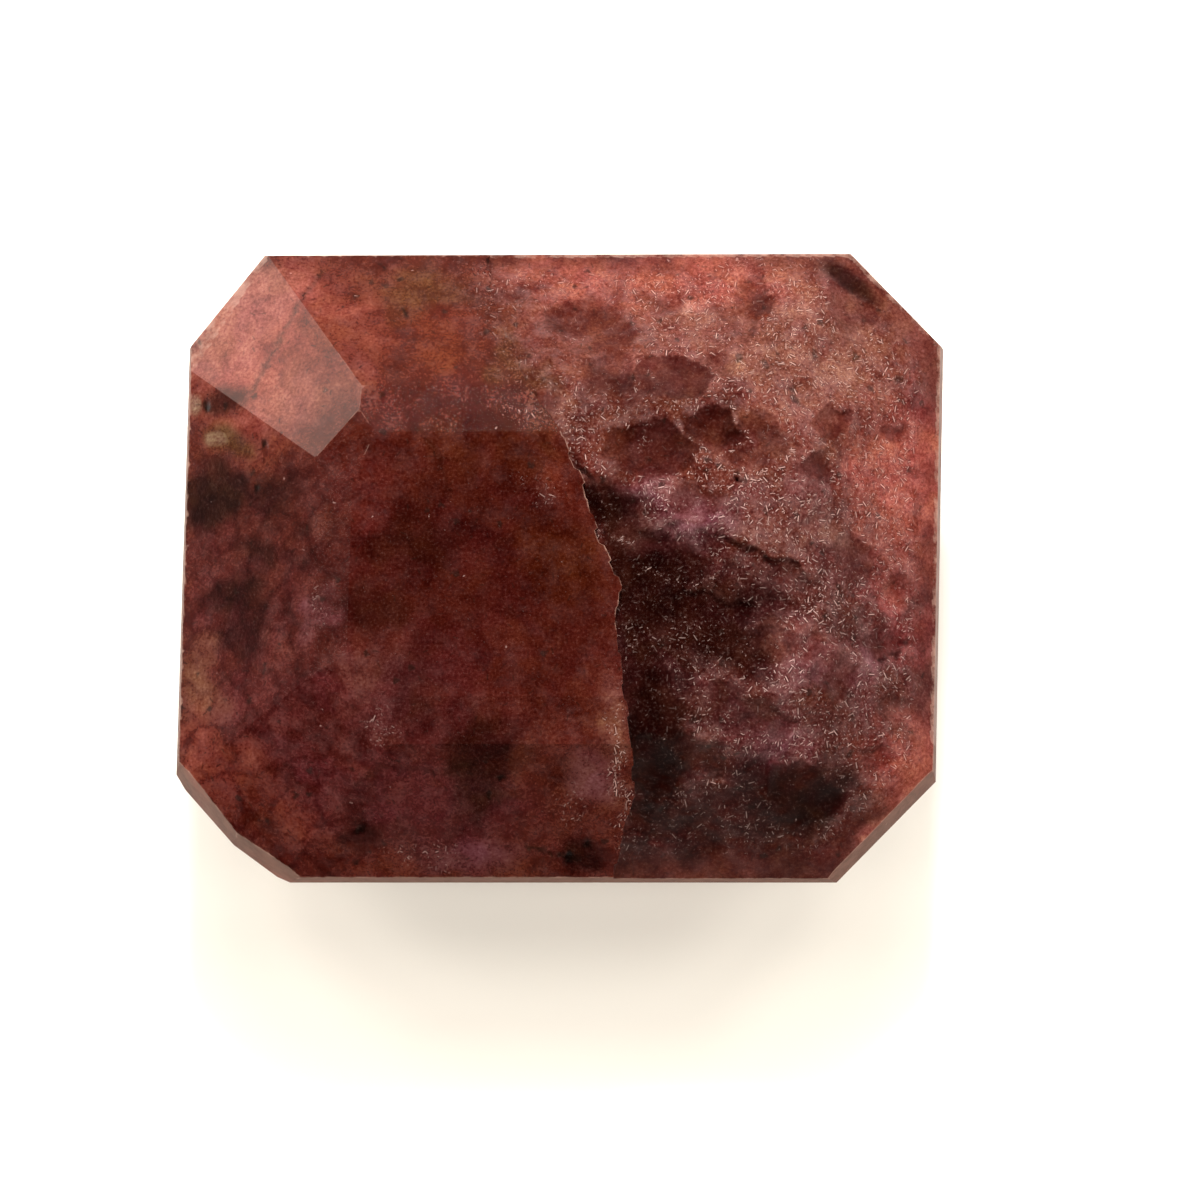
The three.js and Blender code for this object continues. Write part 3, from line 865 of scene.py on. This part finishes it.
def makeMaterial(finish):
    material, tree = newMaterial(finish["name"])
    place = addNode(tree, "ShaderNodeTexCoord").outputs["Object"]
    tone = addNode(tree, "ShaderNodeAttribute", attribute_name="tone").outputs
    sugar = addNode(tree, "ShaderNodeAttribute", attribute_name="sugar").outputs["Fac"]
    glint = addNode(tree, "ShaderNodeAttribute", attribute_name="glint").outputs["Fac"]
    rim = addNode(tree, "ShaderNodeAttribute", attribute_name="rim").outputs["Fac"]
    edging = addNode(tree, "ShaderNodeAttribute", attribute_name="edging").outputs

    # Clouds and fine grain: the lighter the stone, the greyer, and it leans to brown or to mauve in places
    clouds = addNode(tree, "ShaderNodeTexNoise", {
        "Vector": place, "Scale": 1 / (surface["cloudSize"] * mm), "Detail": 5.0, "Roughness": 0.62,
        "Distortion": 0.4,
    })
    cloudShade = addNode(tree, "ShaderNodeMapRange", {
        "Value": clouds.outputs[0], 1: 0.3, 2: 0.7, 3: surface["cloudShade"][0], 4: surface["cloudShade"][1],
    })
    fine = addNode(tree, "ShaderNodeTexNoise", {
        "Vector": place, "Scale": 1 / (surface["grainSize"] * mm), "Detail": 3.0, "Roughness": 0.7,
    })
    polishGrain, breakGrain = surface["polishGrain"], surface["breakGrain"]
    fineLow = addNode(tree, "ShaderNodeMapRange", {"Value": sugar, 3: polishGrain[0], 4: breakGrain[0]})
    fineHigh = addNode(tree, "ShaderNodeMapRange", {"Value": sugar, 3: polishGrain[1], 4: breakGrain[1]})
    fineShade = addNode(tree, "ShaderNodeMapRange", {
        "Value": fine.outputs[0], 1: 0.3, 2: 0.7, 3: fineLow.outputs[0], 4: fineHigh.outputs[0],
    })
    shade = addNode(tree, "ShaderNodeMath", {
        0: cloudShade.outputs[0], 1: fineShade.outputs[0],
    }, operation="MULTIPLY").outputs[0]
    redPower = addNode(tree, "ShaderNodeMath", {0: shade, 1: surface["redPower"]}, operation="POWER")
    redShade = addNode(tree, "ShaderNodeMath", {
        0: redPower.outputs[0], 1: surface["redLevel"],
    }, operation="MULTIPLY")
    shades = addNode(tree, "ShaderNodeCombineColor", {0: redShade.outputs[0], 1: shade, 2: shade})
    shaded = addNode(tree, "ShaderNodeMix", {
        0: 1.0, 6: tone["Color"], 7: shades.outputs[0],
    }, data_type="RGBA", blend_type="MULTIPLY")
    hues = addNode(tree, "ShaderNodeTexNoise", {
        "Vector": place, "Scale": 1 / (surface["hueSize"] * mm), "Detail": 4.0, "Distortion": 0.6,
    })
    hueKept = surface["hueKept"]
    brownMost = addNode(tree, "ShaderNodeMapRange", {"Value": tone["Alpha"], 3: 0.0, 4: hueKept})
    mauveMost = addNode(tree, "ShaderNodeMapRange", {"Value": tone["Alpha"], 3: 1.0, 4: 1 - hueKept})
    hueShare = addNode(tree, "ShaderNodeMapRange", {
        "Value": hues.outputs[0], 1: 0.42, 2: 0.58, 3: brownMost.outputs[0], 4: mauveMost.outputs[0],
    })
    hue = addNode(tree, "ShaderNodeMix", {
        0: hueShare.outputs[0], 6: linear(surface["brownTint"]), 7: linear(surface["mauveTint"]),
    }, data_type="RGBA")
    hued = addNode(tree, "ShaderNodeMix", {
        0: 1.0, 6: shaded.outputs[2], 7: hue.outputs[2],
    }, data_type="RGBA", blend_type="MULTIPLY")

    # Specks of black oxide
    bend = addNode(tree, "ShaderNodeTexNoise", {
        "Vector": place, "Scale": 1 / (surface["bendSize"] * mm), "Detail": 1.0,
    })
    bendMid = addNode(tree, "ShaderNodeVectorMath", {
        0: bend.outputs[1], 1: (0.5, 0.5, 0.5),
    }, operation="SUBTRACT")
    bent = addNode(tree, "ShaderNodeVectorMath", {
        0: bendMid.outputs[0], 1: (surface["bendBy"] * mm,) * 3, 2: place,
    }, operation="MULTIPLY_ADD").outputs[0]
    specks = addNode(tree, "ShaderNodeTexVoronoi", {
        "Vector": bent, "Scale": 1 / (surface["speckSize"] * mm),
    })
    speckLot = addNode(tree, "ShaderNodeSeparateColor", {0: specks.outputs["Color"]})
    rarity = surface["speckRarity"]
    speckNeed = addNode(tree, "ShaderNodeMapRange", {"Value": sugar, 3: rarity[0], 4: rarity[1]})
    speckKept = addNode(tree, "ShaderNodeMath", {
        0: speckLot.outputs[0], 1: speckNeed.outputs[0],
    }, operation="GREATER_THAN")
    speckBody = addNode(tree, "ShaderNodeMapRange", {
        "Value": specks.outputs["Distance"], 1: 0.3, 2: 0.14, 4: 0.7,
    })
    speck = addNode(tree, "ShaderNodeMath", {
        0: speckKept.outputs[0], 1: speckBody.outputs[0],
    }, operation="MULTIPLY")
    specked = addNode(tree, "ShaderNodeMix", {
        0: speck.outputs[0], 6: hued.outputs[2], 7: linear(surface["oxideHex"]),
    }, data_type="RGBA")

    # Pale bloom in cloudy spots, where small cracks under the surface scatter light
    blooms = addNode(tree, "ShaderNodeTexNoise", {
        "Vector": place, "Scale": 1 / (surface["bloomSize"] * mm), "Detail": 4.0, "Roughness": 0.75,
    })
    bloomBy = addNode(tree, "ShaderNodeMapRange", {
        "Value": sugar, 3: surface["bloomMost"][0], 4: surface["bloomMost"][1],
    })
    bloomMost = addNode(tree, "ShaderNodeMath", {
        0: bloomBy.outputs[0], 1: tone["Alpha"],
    }, operation="MULTIPLY")
    bloom = addNode(tree, "ShaderNodeMapRange", {
        "Value": blooms.outputs[0], 1: 0.46, 2: 0.74, 4: bloomMost.outputs[0],
    })
    colour = addNode(tree, "ShaderNodeMix", {
        0: bloom.outputs[0], 6: specked.outputs[2], 7: linear(surface["bloomHex"]),
    }, data_type="RGBA").outputs[2]

    # Grain edges, pale partly as real cleaved edges and partly as painted glints: one short straight line for
    # each cell, crowded on the break and rare on the polish
    pale = None
    for spacing, width, length, polishNeed, breakNeed, brightness, darkness in surface["strokes"]:
        cells = addNode(tree, "ShaderNodeTexVoronoi", {
            "Vector": place, "Scale": 1 / (spacing * mm),
        }, voronoi_dimensions="2D")
        lots = addNode(tree, "ShaderNodeSeparateColor", {0: cells.outputs["Color"]}).outputs
        angle = addNode(tree, "ShaderNodeMath", {0: lots[0], 1: math.pi}, operation="MULTIPLY")
        gap = addNode(tree, "ShaderNodeVectorMath", {
            0: place, 1: cells.outputs["Position"],
        }, operation="SUBTRACT")
        turned = addNode(tree, "ShaderNodeVectorRotate", {
            "Vector": gap.outputs[0], "Angle": angle.outputs[0],
        }, rotation_type="Z_AXIS")
        parts = addNode(tree, "ShaderNodeSeparateXYZ", {0: turned.outputs[0]}).outputs
        along = addNode(tree, "ShaderNodeMath", {0: parts[0]}, operation="ABSOLUTE").outputs[0]
        across = addNode(tree, "ShaderNodeMath", {0: parts[1]}, operation="ABSOLUTE").outputs[0]
        run = addNode(tree, "ShaderNodeMapRange", {"Value": along, 1: length * mm, 2: 0.6 * length * mm})
        line = addNode(tree, "ShaderNodeMapRange", {
            "Value": across, 1: width * mm, 2: 0.4 * width * mm, 4: brightness,
        })
        sides = addNode(tree, "ShaderNodeMapRange", {
            "Value": across, 1: 3.0 * width * mm, 2: 1.2 * width * mm, 4: darkness,
        })
        limit = addNode(tree, "ShaderNodeMapRange", {"Value": glint, 3: polishNeed, 4: breakNeed})
        over = addNode(tree, "ShaderNodeMath", {0: lots[1], 1: limit.outputs[0]}, operation="SUBTRACT")
        shard = addNode(tree, "ShaderNodeMapRange", {"Value": over.outputs[0], 1: 0.0, 2: 0.6})
        short = addNode(tree, "ShaderNodeMath", {
            0: shard.outputs[0], 1: run.outputs[0],
        }, operation="MULTIPLY")
        dark = addNode(tree, "ShaderNodeMath", {
            0: sides.outputs[0], 1: short.outputs[0],
        }, operation="MULTIPLY")
        mark = addNode(tree, "ShaderNodeMath", {
            0: line.outputs[0], 1: short.outputs[0],
        }, operation="MULTIPLY")
        colour = addNode(tree, "ShaderNodeMix", {
            0: dark.outputs[0], 6: colour, 7: linear(surface["oxideHex"]),
        }, data_type="RGBA").outputs[2]
        pale = mark if pale is None else addNode(tree, "ShaderNodeMath", {
            0: pale.outputs[0], 1: mark.outputs[0],
        }, operation="MAXIMUM")
    # pale rims: partly wear and chips, partly painted highlight
    rimLine = addNode(tree, "ShaderNodeMapRange", {"Value": rim, 1: 0.5, 2: 0.8, 4: 0.75})
    rimPiece = addNode(tree, "ShaderNodeMapRange", {"Value": blooms.outputs[0], 1: 0.4, 2: 0.6})
    wornAndLit = addNode(tree, "ShaderNodeMath", {
        0: rimLine.outputs[0], 1: rimPiece.outputs[0],
    }, operation="MULTIPLY")
    rimmed = addNode(tree, "ShaderNodeMix", {
        0: wornAndLit.outputs[0], 6: colour, 7: linear(surface["rimHex"]),
    }, data_type="RGBA")

    # Pale dots and haze between the grain edges, then the ground girdle over all, paler on the sides with a
    # painted reflection of the white floor
    dotKept = addNode(tree, "ShaderNodeMath", {
        0: speckLot.outputs[1], 1: surface["dotRarity"],
    }, operation="GREATER_THAN")
    dotBody = addNode(tree, "ShaderNodeMapRange", {
        "Value": specks.outputs["Distance"], 1: 0.11, 2: 0.04, 4: 0.45,
    })
    dot = addNode(tree, "ShaderNodeMath", {
        0: dotKept.outputs[0], 1: dotBody.outputs[0],
    }, operation="MULTIPLY")
    bright = addNode(tree, "ShaderNodeMath", {0: pale.outputs[0], 1: dot.outputs[0]}, operation="MAXIMUM")
    hazeMost = addNode(tree, "ShaderNodeMapRange", {
        "Value": glint, 3: surface["hazeMost"][0], 4: surface["hazeMost"][1],
    })
    haze = addNode(tree, "ShaderNodeMapRange", {
        "Value": fine.outputs[0], 1: 0.55, 2: 0.8, 4: hazeMost.outputs[0],
    })
    sparkle = addNode(tree, "ShaderNodeMath", {0: bright.outputs[0], 1: haze.outputs[0]}, operation="MAXIMUM")
    edgeColour = addNode(tree, "ShaderNodeMix", {
        0: surface["edgeMix"], 6: tone["Color"], 7: linear(surface["edgeHex"]),
    }, data_type="RGBA")
    sparkled = addNode(tree, "ShaderNodeMix", {
        0: sparkle.outputs[0], 6: rimmed.outputs[2], 7: edgeColour.outputs[2],
    }, data_type="RGBA")
    edgeShare = addNode(tree, "ShaderNodeMapRange", {
        "Value": blooms.outputs[0], 1: 0.3, 2: 0.62, 3: 0.3, 4: edging["Alpha"],
    })
    edgeMix = addNode(tree, "ShaderNodeMath", {
        0: edgeShare.outputs[0], 1: edging["Alpha"],
    }, operation="MULTIPLY")
    edged = addNode(tree, "ShaderNodeMix", {
        0: edgeMix.outputs[0], 6: sparkled.outputs[2], 7: edging["Color"],
    }, data_type="RGBA")

    shader = addNode(tree, "ShaderNodeBsdfPrincipled", {
        "Base Color": edged.outputs[2], "Roughness": finish["roughness"], "IOR": surface["ior"],
        "Specular IOR Level": finish["specular"],
    })
    addNode(tree, "ShaderNodeOutputMaterial", {"Surface": shader.outputs[0]})
    return material


makeStudio()
piece = makeStone()
addGrain(piece, makeMaterial(polishedFinish), makeMaterial(lappedFinish), makeMaterial(roughFinish))
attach(piece, "root")
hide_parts("rhodonite")
print("stone: set in the frame")
